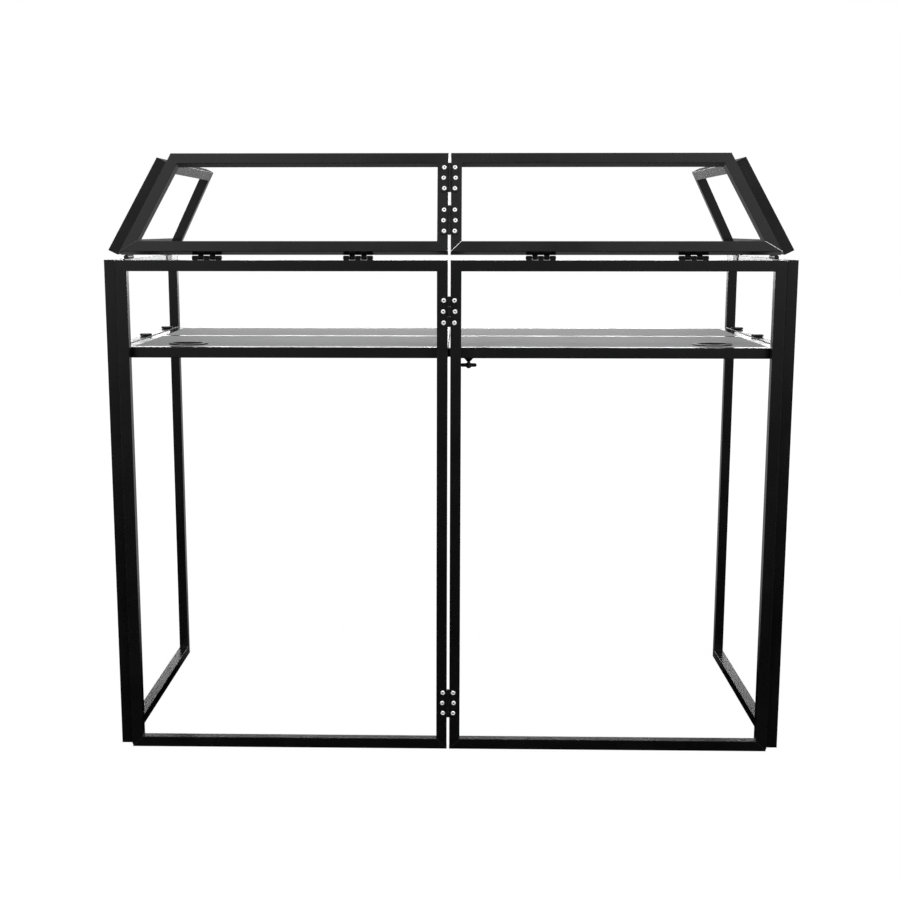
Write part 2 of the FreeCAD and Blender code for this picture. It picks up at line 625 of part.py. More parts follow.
for label, key, outline, straight, studs in FRAMES:
    stand = getattr(place, key)
    holes = rivet_holes(stand, getattr(rivets, key))
    node = keep(frame(label, frame_rails(outline, straight), holes, studs))
    node.Placement = stand

# The two table halves, with a hole for the wing screw under the right front rail
wing_u = size.wing_set - size.table_gap / 2
node = keep(frame("table_frame_left", TABLE_LEFT_RAILS, [], []))
node.Placement = place.table_left
wing_hole = (Vector(wing_u, t / 2, 0), stud_hole)
node = keep(frame("table_frame_right", TABLE_RIGHT_RAILS, [wing_hole], []))
node.Placement = place.table_right


def table_boards(label, grommet_u):
    level = t - size.board_thick
    blank = bound_box(
        label + "_blank", "Sizes.table_inner", "Sizes.front_board", "Sizes.board_thick",
        Vector(t, t, level),
    )
    hole = bound_cylinder(
        label + "_hole", "Sizes.grommet_hole_r", "Sizes.board_thick + 2 * Sizes.overrun",
        Vector(grommet_u, size.grommet_set, level - size.overrun),
    )
    front = cut(label + "_front", blank, [hole])
    rear = bound_box(
        label + "_rear", "Sizes.table_inner", "Sizes.rear_board", "Sizes.board_thick",
        Vector(t, size.cross_set + t, level),
    )
    made = doc.addObject("Part::Compound", label)
    made.Links = [front, rear]
    return keep(made)


def table_battens(label):
    level = t - size.board_thick - size.batten_height
    rows = [
        t,
        size.cross_set - size.batten_width,
        size.cross_set + t,
        size.table_depth - t - size.batten_width,
    ]
    strips = []
    for i, row in enumerate(rows):
        strips.append(bound_box(
            "%s_strip_%d" % (label, i), "Sizes.table_inner", "Sizes.batten_width", "Sizes.batten_height",
            Vector(t, row, level),
        ))
    made = doc.addObject("Part::Compound", label)
    made.Links = strips
    return keep(made)


table_boards("boards_left", size.grommet_in).Placement = place.table_left
table_boards("boards_right", size.table_half - size.grommet_in).Placement = place.table_right
table_battens("battens_left").Placement = place.table_left
table_battens("battens_right").Placement = place.table_right

# Grommet: the underside of its flange is at z = 0
sleeve_r = "(Sizes.grommet_hole_r - Sizes.seat_fit)"
flange = bound_cylinder("grommet_flange_disc", "Sizes.grommet_flange_r", "Sizes.grommet_flange")
sleeve = bound_cylinder(
    "grommet_sleeve", sleeve_r, "Sizes.grommet_drop + Sizes.grommet_flange",
    Vector(0, 0, -size.grommet_drop),
)
eye = bound_cylinder(
    "grommet_eye", "%s - Sizes.grommet_wall" % sleeve_r,
    "Sizes.grommet_drop + Sizes.grommet_flange + 2 * Sizes.overrun",
    Vector(0, 0, -size.grommet_drop - size.overrun),
)
grommet = cut("grommet", fuse("grommet_blank", [flange, sleeve]), [eye])

# Knob: the underside of its neck is at z = 0
knob_disc = bound_cylinder("knob_disc", "Sizes.knob_r", "Sizes.knob_head", Vector(0, 0, size.knob_neck))
knob = fuse("knob", [
    rounded("knob_top", knob_disc, size.knob_round, lambda edge: len(edge.Vertexes) == 1),
    bound_cylinder("knob_neck_post", "Sizes.knob_neck_r", "Sizes.knob_neck"),
    bound_cylinder(
        "knob_stud", "Sizes.stud_r", "Sizes.stud_length + Sizes.knob_neck",
        Vector(0, 0, -size.stud_length),
    ),
])

# Threaded insert, hung under a support tab
insert = cut(
    "insert",
    bound_cylinder(
        "insert_barrel", "Sizes.insert_r", "Sizes.insert_length", Vector(0, 0, -size.insert_length),
    ),
    [bound_cylinder(
        "insert_bore", stud_hole, "Sizes.insert_length + 2 * Sizes.overrun",
        Vector(0, 0, -size.insert_length - size.overrun),
    )],
)

# Support tab: its top is at z = 0 on the knob's axis, and it reaches under the table along +X
tab = cut(
    "tab",
    bound_box(
        "tab_plate", "Sizes.tab_reach", "Sizes.tab_width", "Sizes.tab_thick",
        Vector(-size.tab_back, -size.tab_width / 2, -size.tab_thick),
    ),
    [bound_cylinder(
        "tab_hole", stud_hole, "Sizes.tab_thick + 2 * Sizes.overrun",
        Vector(0, 0, -size.tab_thick - size.overrun),
    )],
)

# Wing screw: the rail's underside is at z = 0, the thread reaches up to the joining bar
bar_clear = size.tube - size.wall - size.bar_side
hub_top = -size.boss_height - size.wing_neck
hub_base = hub_top - size.wing_hub
wing_base = hub_base + (size.wing_hub - size.wing_tall) / 2
wing_flat = size.wing_span - size.wing_tall
wing_y = -size.wing_thick / 2
wing_end = bound_cylinder(
    "wing_end_left", "Sizes.wing_tall / 2", "Sizes.wing_thick",
    Vector(-wing_flat / 2, -wing_y, wing_base + size.wing_tall / 2), -Y,
)
wing_tip = bound_cylinder(
    "wing_end_right", "Sizes.wing_tall / 2", "Sizes.wing_thick",
    Vector(wing_flat / 2, -wing_y, wing_base + size.wing_tall / 2), -Y,
)
wing_screw = fuse("wing_screw_blank", [
    bound_cylinder("wing_hub_post", "Sizes.wing_hub_r", "Sizes.wing_hub", Vector(0, 0, hub_base)),
    bind("Part::Sphere", "wing_hub_end", Radius="Sizes.wing_hub_r"),
    bound_box(
        "wing_blade", "Sizes.wing_span - Sizes.wing_tall", "Sizes.wing_thick", "Sizes.wing_tall",
        Vector(-wing_flat / 2, wing_y, wing_base),
    ),
    wing_end,
    wing_tip,
    bound_cylinder(
        "wing_thread", "Sizes.stud_r",
        "Sizes.boss_height + Sizes.wing_neck + Sizes.tube - Sizes.wall - Sizes.bar_side",
        Vector(0, 0, hub_top),
    ),
])
hub_end_at = Vector(0, 0, hub_base + size.wing_hub_r / 2)
doc.getObject("wing_hub_end").Placement = Placement(hub_end_at, Rotation())
boss_cone = bind(
    "Part::Cone", "boss_cone",
    Radius1="Sizes.boss_tip_r", Radius2="Sizes.boss_r", Height="Sizes.boss_height",
)
boss_cone.Placement = Placement(Vector(0, 0, -size.boss_height), Rotation())
boss = cut("boss", boss_cone, [bound_cylinder(
    "boss_bore", stud_hole, "Sizes.boss_height + 2 * Sizes.overrun",
    Vector(0, 0, -size.boss_height - size.overrun),
)])

# Joining bar, held up against the top of the front rail's hollow
bar_wall = "(Sizes.bar_side - 2 * Sizes.wall)"
bar_at = Vector(-size.bar_length / 2, -size.bar_side / 2, bar_clear)
bar = cut(
    "bar",
    bound_box("bar_outside", "Sizes.bar_length", "Sizes.bar_side", "Sizes.bar_side", bar_at),
    [bound_box(
        "bar_hollow", "Sizes.bar_length + 2 * Sizes.overrun", bar_wall, bar_wall,
        bar_at + Vector(-size.overrun, size.wall, size.wall),
    )],
)
doc.recompute()


def at(x, y, z):
    return Placement(Vector(x, y, z), Rotation())


# Hinge leaves, pins and rivets
group("centre_leaves_left", outer_leaf, spots.centre_left)
group("centre_leaves_right", inner_leaf, spots.centre_right)
group("centre_pins", hinge_pin, spots.centre_left)
for side in ("left", "right"):
    front_corners = getattr(spots, "front_corner_" + side)
    front_tilt = getattr(spots, "front_tilt_" + side)
    side_tilt = getattr(spots, "side_tilt_" + side)
    group("front_corner_leaves_" + side, corner_outer_leaf, front_corners)
    group("side_corner_leaves_" + side, corner_inner_leaf, getattr(spots, "side_corner_" + side))
    group("corner_pins_" + side, hinge_pin, front_corners)
    group("front_tilt_leaves_" + side, tilt_outer_leaf, front_tilt)
    group("front_tilt_pins_" + side, hinge_pin, front_tilt)
    group("top_front_tilt_leaves_" + side, tilt_inner_leaf, getattr(spots, "top_tilt_" + side))
    group("side_tilt_leaves_" + side, tilt_outer_leaf, side_tilt)
    group("side_tilt_pins_" + side, hinge_pin, side_tilt)
    group("top_side_tilt_leaves_" + side, tilt_inner_leaf, getattr(spots, "top_side_" + side))
    group("front_rivets_" + side, rivet, getattr(rivets, "front_" + side))
    group("side_rivets_" + side, rivet, getattr(rivets, "side_" + side))
    group("top_front_rivets_" + side, rivet, getattr(rivets, "top_front_" + side))
    group("top_side_rivets_" + side, rivet, getattr(rivets, "top_side_" + side))
group("top_centre_leaves_left", outer_leaf, spots.top_centre_left)
group("top_centre_leaves_right", inner_leaf, spots.top_centre_right)
half_turn = Placement(Vector(size.hinge_length, 0, 0), Rotation(Y, 2 * RIGHT_ANGLE))
short_pins = []
for spot in spots.top_centre_left:
    short_pins += [spot, spot.multiply(half_turn)]
group("top_centre_pins", short_pin, short_pins)

# Table fittings
table_mid_y = size.table_front_y + t / 2
grommet_x = size.table_out - size.grommet_in
grommet_y = size.table_front_y + size.grommet_set
group("grommet_left", grommet, [at(-grommet_x, grommet_y, size.table_top)])
group("grommet_right", grommet, [at(grommet_x, grommet_y, size.table_top)])
group("joining_bar", bar, [at(0, table_mid_y, table_base)])
group("clamp_boss", boss, [at(size.wing_set, table_mid_y, table_base)])
group("wing_screw", wing_screw, [at(size.wing_set, table_mid_y, table_base)])

# Knobs on the side frames' middle rails, each holding a support tab and its insert under the rail
knob_x = size.side_in + t / 2
for side, sign in (("left", -1), ("right", 1)):
    inwards = Rotation(Z, 0 if sign < 0 else 2 * RIGHT_ANGLE)
    tab_places = []
    insert_places = []
    for row, set_back in (("front", size.knob_front), ("rear", rear_knob)):
        spot = Vector(sign * knob_x, size.side_front_y + set_back, table_base)
        tab_places.append(Placement(spot, inwards))
        insert_places.append(at(spot.x, spot.y, spot.z - size.tab_thick))
        group("knob_%s_%s" % (row, side), knob, [at(spot.x, spot.y, size.table_top)])
    group("support_tabs_" + side, tab, tab_places)
    group("knob_inserts_" + side, insert, insert_places)

doc.recompute()
for made in doc.Objects:
    if "Invalid" in made.State or "Error" in made.State:
        raise RuntimeError("%s did not build: %s" % (made.Name, made.State))
os.makedirs("parts", exist_ok=True)
for node in nodes:
    if node.Shape.isNull() or not node.Shape.isValid():
        raise RuntimeError("%s has no valid shape" % node.Label)
    node.Shape.exportStep("parts/%s.step" % node.Label)
print("nodes", len(nodes))
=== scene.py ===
import bmesh
import bpy
import json
import math
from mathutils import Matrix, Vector


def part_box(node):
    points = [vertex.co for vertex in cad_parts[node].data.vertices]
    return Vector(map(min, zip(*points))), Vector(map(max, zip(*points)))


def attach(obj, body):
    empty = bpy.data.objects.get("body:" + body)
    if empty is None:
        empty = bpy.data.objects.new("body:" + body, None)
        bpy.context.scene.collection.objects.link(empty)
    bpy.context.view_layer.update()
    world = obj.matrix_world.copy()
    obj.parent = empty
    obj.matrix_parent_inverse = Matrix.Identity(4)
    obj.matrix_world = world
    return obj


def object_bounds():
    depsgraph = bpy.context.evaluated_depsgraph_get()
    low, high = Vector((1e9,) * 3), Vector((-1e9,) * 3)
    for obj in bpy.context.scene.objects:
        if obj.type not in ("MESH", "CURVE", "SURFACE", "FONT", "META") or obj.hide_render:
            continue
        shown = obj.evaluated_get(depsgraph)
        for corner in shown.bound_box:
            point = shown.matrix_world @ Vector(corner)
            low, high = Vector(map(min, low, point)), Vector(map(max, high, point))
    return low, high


# Folding DJ booth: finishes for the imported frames, with weld seams, rivet mandrels and buffer strips added
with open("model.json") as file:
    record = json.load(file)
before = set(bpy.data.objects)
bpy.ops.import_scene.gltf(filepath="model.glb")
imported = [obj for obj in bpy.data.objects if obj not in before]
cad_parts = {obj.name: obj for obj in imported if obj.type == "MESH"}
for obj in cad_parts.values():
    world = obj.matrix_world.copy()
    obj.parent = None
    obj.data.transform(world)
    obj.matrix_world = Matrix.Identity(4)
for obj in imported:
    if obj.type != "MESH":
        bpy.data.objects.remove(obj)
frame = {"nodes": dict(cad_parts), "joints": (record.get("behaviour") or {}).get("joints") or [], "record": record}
nodes = frame["nodes"]
cad_low, cad_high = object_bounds()

SIDES = (("left", -1.0), ("right", 1.0))

# Helpers for node trees


def add_node(tree, kind, **settings):
    """A new node with its settings."""
    node = tree.nodes.new(kind)
    for name, value in settings.items():
        setattr(node, name, value)
    return node


def feed(tree, socket, value):
    """Links an output socket to an input, or sets the input's own value."""
    if isinstance(value, bpy.types.NodeSocket):
        tree.links.new(value, socket)
    else:
        socket.default_value = value


def math_node(tree, operation, first, second=0.0, clamp=False):
    """The result of one sum on two values."""
    node = add_node(tree, "ShaderNodeMath", operation=operation, use_clamp=clamp)
    feed(tree, node.inputs[0], first)
    feed(tree, node.inputs[1], second)
    return node.outputs[0]


def mix_colour(tree, factor, first, second):
    """A colour between two, by a factor from 0 to 1."""
    node = add_node(tree, "ShaderNodeMix", data_type="RGBA")
    colours_in = [socket for socket in node.inputs if socket.type == "RGBA"]
    feed(tree, node.inputs["Factor"], factor)
    feed(tree, colours_in[0], first)
    feed(tree, colours_in[1], second)
    return next(socket for socket in node.outputs if socket.type == "RGBA")


def ramp(tree, value, low, high, low_out=0.0, high_out=1.0):
    """Carries a value from one range to another, held at both ends."""
    node = add_node(tree, "ShaderNodeMapRange", clamp=True)
    feed(tree, node.inputs["Value"], value)
    feed(tree, node.inputs["From Min"], low)
    feed(tree, node.inputs["From Max"], high)
    feed(tree, node.inputs["To Min"], low_out)
    feed(tree, node.inputs["To Max"], high_out)
    return node.outputs["Result"]


def noise(tree, where, scale, detail=2.0, roughness=0.5):
    """Cloudy noise from 0 to 1 at a place."""
    node = add_node(tree, "ShaderNodeTexNoise")
    feed(tree, node.inputs["Vector"], where)
    feed(tree, node.inputs["Scale"], scale)
    feed(tree, node.inputs["Detail"], detail)
    feed(tree, node.inputs["Roughness"], roughness)
    return node.outputs["Fac"]


def own_place(tree):
    """The place on the piece, in its own axes."""
    return add_node(tree, "ShaderNodeTexCoord").outputs["Object"]


def split_xyz(tree, vector):
    """The three parts of a vector."""
    node = add_node(tree, "ShaderNodeSeparateXYZ")
    feed(tree, node.inputs[0], vector)
    return node.outputs


def bump(tree, height, strength, distance):
    """A normal that follows a height."""
    node = add_node(tree, "ShaderNodeBump")
    feed(tree, node.inputs["Height"], height)
    feed(tree, node.inputs["Strength"], strength)
    feed(tree, node.inputs["Distance"], distance)
    return node.outputs["Normal"]


# Effects that several finishes share
FLOAT = "NodeSocketFloat"


def new_group(name, inputs, outputs):
    """An empty shader node group with its named sockets."""
    group = bpy.data.node_groups.new(name, "ShaderNodeTree")
    for label, value in inputs.items():
        socket = group.interface.new_socket(label, in_out="INPUT", socket_type=FLOAT)
        socket.default_value = value
    for label in outputs:
        group.interface.new_socket(label, in_out="OUTPUT", socket_type=FLOAT)
    start = group.nodes.new("NodeGroupInput")
    end = group.nodes.new("NodeGroupOutput")
    return group, start.outputs, end.inputs


def powder_coat_group():
    """Fine orange peel of a powder coat, with slow mottling and the odd light speck."""
    tree, given, out = new_group(
        "powder_coat", {"Peel Scale": 700.0, "Mottle Scale": 9.0}, ("Peel", "Mottle", "Specks"),
    )
    specks_per_peel = 1.7
    where = own_place(tree)
    feed(tree, out["Peel"], noise(tree, where, given["Peel Scale"], detail=2.0, roughness=0.55))
    feed(tree, out["Mottle"], noise(tree, where, given["Mottle Scale"], detail=4.0, roughness=0.6))
    speck_scale = math_node(tree, "MULTIPLY", given["Peel Scale"], specks_per_peel)
    fine = noise(tree, where, speck_scale, detail=1.0)
    feed(tree, out["Specks"], ramp(tree, fine, low=0.68, high=0.76))
    return tree


def edge_wear_group():
    """Rubbed edges: where the rounded normal leaves the true one, broken up by noise."""
    tree, given, out = new_group(
        "edge_wear", {"Radius": 0.0015, "Breakup Scale": 60.0, "Amount": 1.0}, ("Edge", "Worn"),
    )
    soft = add_node(tree, "ShaderNodeBevel", samples=4)
    feed(tree, soft.inputs["Radius"], given["Radius"])
    agreement = add_node(tree, "ShaderNodeVectorMath", operation="DOT_PRODUCT")
    feed(tree, agreement.inputs[0], soft.outputs["Normal"])
    feed(tree, agreement.inputs[1], add_node(tree, "ShaderNodeNewGeometry").outputs["Normal"])
    edge = ramp(tree, agreement.outputs["Value"], low=0.995, high=0.90)
    feed(tree, out["Edge"], edge)
    patchy = noise(tree, own_place(tree), given["Breakup Scale"], detail=5.0, roughness=0.65)
    worn = math_node(tree, "MULTIPLY", edge, ramp(tree, patchy, low=0.50, high=0.66))
    feed(tree, out["Worn"], math_node(tree, "MULTIPLY", worn, given["Amount"], clamp=True))
    return tree


def dust_group():
    """Thin dust on faces that look up in the piece's own axes."""
    tree, given, out = new_group("settled_dust", {"Amount": 0.3}, ("Dust",))
    coords = add_node(tree, "ShaderNodeTexCoord").outputs
    facing = ramp(tree, split_xyz(tree, coords["Normal"])["Z"], low=0.25, high=0.95)
    drift = noise(tree, coords["Object"], scale=22.0, detail=6.0, roughness=0.7)
    cloud = ramp(tree, drift, low=0.35, high=0.75)
    settled = math_node(tree, "MULTIPLY", facing, cloud)
    feed(tree, out["Dust"], math_node(tree, "MULTIPLY", settled, given["Amount"]))
    return tree


POWDER_COAT = powder_coat_group()
EDGE_WEAR = edge_wear_group()
SETTLED_DUST = dust_group()


def use_group(tree, group, **values):
    """Places a group in a material with its own values."""
    node = add_node(tree, "ShaderNodeGroup", node_tree=group)
    for name, value in values.items():
        feed(tree, node.inputs[name.replace("_", " ")], value)
    return node.outputs


# Finishes, kept by the record's slot or by the scene's own name


def rgb(red, green, blue):
    """A colour in linear light."""
    return (red, green, blue, 1.0)


def grey(level):
    """A grey in linear light."""
    return rgb(level, level, level)


def new_material(name):
    """An empty material with its shader, and the shader's inputs."""
    material = bpy.data.materials.new(name)
    material.use_nodes = True
    tree = material.node_tree
    tree.nodes.clear()
    shader = tree.nodes.new("ShaderNodeBsdfPrincipled")
    end = tree.nodes.new("ShaderNodeOutputMaterial")
    tree.links.new(shader.outputs[0], end.inputs["Surface"])
    return material, tree, shader.inputs


COAT_BLACK = rgb(0.0034, 0.0034, 0.0036)
DUST_GREY = rgb(0.30, 0.29, 0.28)
# How dark the deep patches of a coat are, how much the specks show, and how much dust dulls the gloss
DEEP_SHARE = 0.72
SPECK_SHARE = 0.25
DUST_DULLS = 0.25


def coated_metal(name, colour, rubbed, *, dust, rough, gloss, peel_scale, peel_depth, wear):
    """Black coat: peel in the bump, mottled roughness, greyer rubbed edges, dust on top."""
    material, tree, shader = new_material(name)
    coat = use_group(tree, POWDER_COAT, Peel_Scale=peel_scale, Mottle_Scale=9.0)
    edges = use_group(tree, EDGE_WEAR, Radius=0.0016, Breakup_Scale=55.0, Amount=wear)
    dusty = use_group(tree, SETTLED_DUST, Amount=dust)
    deep = rgb(*(part * DEEP_SHARE for part in colour[:3]))
    paint = mix_colour(tree, coat["Mottle"], deep, colour)
    paint = mix_colour(tree, math_node(tree, "MULTIPLY", coat["Specks"], SPECK_SHARE), paint, rubbed)
    paint = mix_colour(tree, edges["Worn"], paint, rubbed)
    feed(tree, shader["Base Color"], mix_colour(tree, dusty["Dust"], paint, DUST_GREY))
    mottled = ramp(tree, coat["Mottle"], 0.3, 0.7, low_out=rough - 0.05, high_out=rough + 0.06)
    dulled = math_node(tree, "MULTIPLY", dusty["Dust"], DUST_DULLS)
    feed(tree, shader["Roughness"], math_node(tree, "ADD", mottled, dulled, clamp=True))
    shader["Specular IOR Level"].default_value = gloss
    feed(tree, shader["Normal"], bump(tree, coat["Peel"], strength=0.25, distance=peel_depth))
    return material


def brushed_metal(name, light, dark, *, rough, scale, metallic=1.0):
    """Bare metal with fine tooling streaks and dull patches."""
    patches_per_streak = 0.2
    material, tree, shader = new_material(name)
    where = own_place(tree)
    streak = noise(tree, where, scale, detail=3.0, roughness=0.6)
    patch = noise(tree, where, scale * patches_per_streak, detail=3.0, roughness=0.6)
    feed(tree, shader["Base Color"], mix_colour(tree, patch, dark, light))
    streaky = ramp(tree, streak, 0.3, 0.7, low_out=rough - 0.08, high_out=rough + 0.1)
    feed(tree, shader["Roughness"], streaky)
    shader["Metallic"].default_value = metallic
    feed(tree, shader["Normal"], bump(tree, streak, strength=0.2, distance=0.00004))
    return material


def board_finish(name, light, dark, *, rough):
    """Grey board: a close fleck over a slow cloud, with the gloss uneven by the cloud."""
    material, tree, shader = new_material(name)
    where = own_place(tree)
    fleck = noise(tree, where, scale=900.0, detail=2.0, roughness=0.6)
    cloud = noise(tree, where, scale=6.0, detail=4.0, roughness=0.6)
    average = math_node(tree, "MULTIPLY", math_node(tree, "ADD", fleck, cloud), 0.5)
    shade = ramp(tree, average, low=0.35, high=0.65)
    feed(tree, shader["Base Color"], mix_colour(tree, shade, dark, light))
    uneven = ramp(tree, cloud, 0.3, 0.7, low_out=rough - 0.06, high_out=rough + 0.06)
    feed(tree, shader["Roughness"], uneven)
    shader["Specular IOR Level"].default_value = 0.1
    feed(tree, shader["Normal"], bump(tree, fleck, strength=0.3, distance=0.0001))
    return material


FINISHES = {
    "frame_black": coated_metal(
        "satin_black_powder_coat", COAT_BLACK, rgb(0.030, 0.030, 0.031),
        dust=0.01, rough=0.25, gloss=0.25, peel_scale=650.0, peel_depth=0.00003, wear=0.5,
    ),
    "table_rail": coated_metal(
        "table_rail_powder_coat", COAT_BLACK, rgb(0.035, 0.035, 0.036),
        dust=0.02, rough=0.24, gloss=0.27, peel_scale=650.0, peel_depth=0.00003, wear=0.6,
    ),
    "buffer": coated_metal(
        "buffer_rubber", grey(0.005), grey(0.02),
        dust=0.02, rough=0.60, gloss=0.15, peel_scale=1800.0, peel_depth=0.00003, wear=0.3,
    ),
    "rivet_silver": brushed_metal(
        "rivet_aluminium", grey(0.95), rgb(0.82, 0.82, 0.83), rough=0.45, scale=1400.0, metallic=0.40,
    ),
    "pin_steel": brushed_metal(
        "pin_steel", rgb(0.09, 0.09, 0.095), grey(0.04), rough=0.45, scale=1200.0,
    ),
    # The mandrel stubs are real; their near-black colour is painted shade in the rivets' eyes
    "mandrel": brushed_metal(
        "mandrel_steel_painted_shade", rgb(0.030, 0.029, 0.028), rgb(0.010, 0.010, 0.009), rough=0.50, scale=1800.0,
    ),
    # Light grey and darker grey metal for a few seams, both lighter than the coat
    "light_seam": brushed_metal(
        "light_seam", grey(0.86), grey(0.60), rough=0.40, scale=1600.0, metallic=0.5,
    ),
    "grey_seam": brushed_metal(
        "grey_seam", grey(0.12), grey(0.06), rough=0.45, scale=1600.0,
    ),
    "insert_brass": brushed_metal(
        "insert_brass", rgb(0.72, 0.52, 0.22), rgb(0.50, 0.34, 0.13), rough=0.34, scale=1200.0,
    ),
    "board_grey": board_finish(
        "board_grey_laminate", grey(0.36), rgb(0.29, 0.29, 0.295), rough=0.7,
    ),
    "batten_grey": board_finish(
        "batten_grey_paint", grey(0.20), grey(0.14), rough=0.6,
    ),
}
for slot_name in ("hinge_black", "bar_black", "tab_black", "wing_black"):
    FINISHES[slot_name] = coated_metal(
        slot_name + "_enamel", rgb(0.0032, 0.0032, 0.0034), rgb(0.040, 0.038, 0.036),
        dust=0.01, rough=0.38, gloss=0.16, peel_scale=900.0, peel_depth=0.00004, wear=0.6,
    )
for slot_name in ("grommet_black", "knob_black"):
    FINISHES[slot_name] = coated_metal(
        slot_name + "_moulded", grey(0.006), grey(0.03),
        dust=0.02, rough=0.34, gloss=0.30, peel_scale=1500.0, peel_depth=0.00003, wear=0.4,
    )

for part in frame["record"]["subparts"]:
    finishes_of_part = nodes[part["node"]].data.materials
    finishes_of_part.clear()
    finishes_of_part.append(FINISHES[part["material_slot"]])

# Pieces of the scene's own, each riding on the body that carries it


def add_piece(name, points, faces, finish, body):
    """A smooth mesh piece with its finish, riding on a body."""
    mesh = bpy.data.meshes.new(name)
    mesh.from_pydata(points, [], faces)
    mesh.validate()
    for face in mesh.polygons:
        face.use_smooth = True
    mesh.materials.append(FINISHES[finish])
    item = bpy.data.objects.new(name, mesh)
    bpy.context.scene.collection.objects.link(item)
    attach(item, body)


def facing_out(faces, sign):
    """The faces of a piece built on the right; on the left, its mirror image, they turn round."""
    return faces if sign > 0 else [tuple(reversed(face)) for face in faces]


def join_rings(faces, first, second, count):
    """Faces between two rings of points, given by the number of each ring's first point."""
    for step in range(count):
        following = (step + 1) % count
        faces.append((first + step, first + following, second + following, second + step))


# Broken mandrel ends, nipped and dull, down in the rivets' holes, near black as painted shade in the rivets' eyes:
# radius, and height over the head's rim
MANDREL = (
    (0.00145, 0.00026),
    (0.00140, 0.00056),
    (0.00100, 0.00072),
    (0.00050, 0.00060),
    (0.0, 0.00066),
)
MANDREL_STEPS = 14
# Points closer than this are one point; points past this share of a rivet's widest radius are on its rim
SAME_POINT = 1e-6
RIM_SHARE = 0.97


def lathe(points, faces, foot, axis, profile, count):
    """Turns a profile of (radius, height) about an axis; the last point lies on the axis."""
    side = axis.orthogonal().normalized()
    other = axis.cross(side)
    start = len(points)
    for radius, height in profile[:-1]:
        for step in range(count):
            turn = 2.0 * math.pi * step / count
            out = side * math.cos(turn) + other * math.sin(turn)
            points.append(foot + axis * height + out * radius)
    points.append(foot + axis * profile[-1][1])
    tip = len(points) - 1
    last = tip - count
    for ring in range(start, last, count):
        join_rings(faces, ring, ring + count, count)
    for step in range(count):
        faces.append((last + step, last + (step + 1) % count, tip))
    faces.append(tuple(start + step for step in reversed(range(count))))


def loose_solids(work):
    """The points of each separate solid in a mesh; a solid's list grows while it is walked."""
    waiting = set(work.verts)
    solids = []
    for first in work.verts:
        if first not in waiting:
            continue
        waiting.remove(first)
        solid = [first]
        for vert in solid:
            for link in vert.link_edges:
                near = link.other_vert(vert)
                if near in waiting:
                    waiting.remove(near)
                    solid.append(near)
        solids.append(solid)
    return solids


def main_axis(solid):
    """The way that most of a turned solid's flat area faces."""
    areas = {}
    for face in dict.fromkeys(face for vert in solid for face in vert.link_faces):
        flat = face.normal if max(face.normal, key=abs) > 0 else -face.normal
        key = tuple(round(part, 2) for part in flat)
        areas.setdefault(key, [0.0, flat.copy()])[0] += face.calc_area()
    return max(areas.values(), key=lambda entry: entry[0])[1].normalized()


def rivet_places(node):
    """The middle of each rivet head's rim, and the way its head faces."""
    work = bmesh.new()
    work.from_mesh(nodes[node].data)
    bmesh.ops.remove_doubles(work, verts=work.verts, dist=SAME_POINT)
    places = []
    for solid in loose_solids(work):
        axis = main_axis(solid)
        middle = sum((vert.co for vert in solid), Vector()) / len(solid)
        spread = {}
        for vert in solid:
            offset = vert.co - middle
            spread[vert] = (offset - axis * axis.dot(offset)).length
        widest = max(spread.values())
        rim = [vert.co for vert in solid if spread[vert] > RIM_SHARE * widest]
        centre = sum(rim, Vector()) / len(rim)
        heights = [axis.dot(vert.co - centre) for vert in solid]
        tail = max(heights, key=abs)
        places.append((centre, -axis if tail > 0 else axis))
    work.free()
    return places


# A mandrel stub in each rivet's eye, whose near-black finish paints the eye's shade
for place in ("front", "side", "top_front", "top_side"):
    for side in ("left", "right"):
        points = []
        faces = []
        for centre, facing in rivet_places(place + "_rivets_" + side):
            lathe(points, faces, centre, facing, MANDREL, MANDREL_STEPS)
        body = place + "_" + side
        add_piece("mandrels_" + body, points, faces, "mandrel", body)

# Weld seams at the mitred corners: a low bead that runs once round the section
front_low, front_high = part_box("front_frame_right")
TUBE = front_high.y - front_low.y
TUBE_ROUND = 0.0008
ARC_STEPS = 4
BEAD_SIDES = 6
BEAD_STEP = 0.0025
BEAD_HALF = 0.00045
BEAD_RISE = 0.6
BEAD_SUNK = 0.0001
# Waves in the bead: share of its half width, turn from step to step, and start
BEAD_WAVES = ((0.22, 1.9, 0.0), (0.12, 0.83, 1.0))
LEVEL_REACH = 1e-5
ACROSS = Vector((1.0, 0.0, 0.0))
BACK = Vector((0.0, 1.0, 0.0))
UP = Vector((0.0, 0.0, 1.0))


def lean_of(joint_name):
    """How far an upper frame leans at rest: its tilt joint ends where the frame stands upright."""
    joint = next(joint for joint in frame["joints"] if joint["name"] == joint_name)
    return math.radians(joint["range_deg"][1])


def leaning(lean, inward):
    """The up and outward ways of an upper frame that leans inward."""
    up = UP * math.cos(lean) + inward * math.sin(lean)
    out = UP * math.sin(lean) - inward * math.cos(lean)
    return up, out


# Each mitred frame on the right: the way along it, then its up and outward ways
MITRED = {
    "front": (ACROSS, UP, -BACK),
    "side": (BACK, UP, ACROSS),
    "top_front": (ACROSS, *leaning(lean_of("tilt_front_right"), BACK)),
    "top_side": (BACK, *leaning(lean_of("tilt_side_right"), -ACROSS)),
    "table": (ACROSS, BACK, UP),
}
# Seams in a lighter metal finish than the coat: name, finish and half width
LIGHT_SEAMS = {
    ("top_front", "right", 0): ("light_seam_centre", "light_seam", 0.0006),
    ("top_front", "right", 1): ("light_seam_hip", "light_seam", 0.0005),
    ("top_front", "left", 1): ("grey_seam_hip", "grey_seam", 0.0005),
}
# The table halves' front corners at the middle are square and have no seam
SQUARE = ("table", 0)


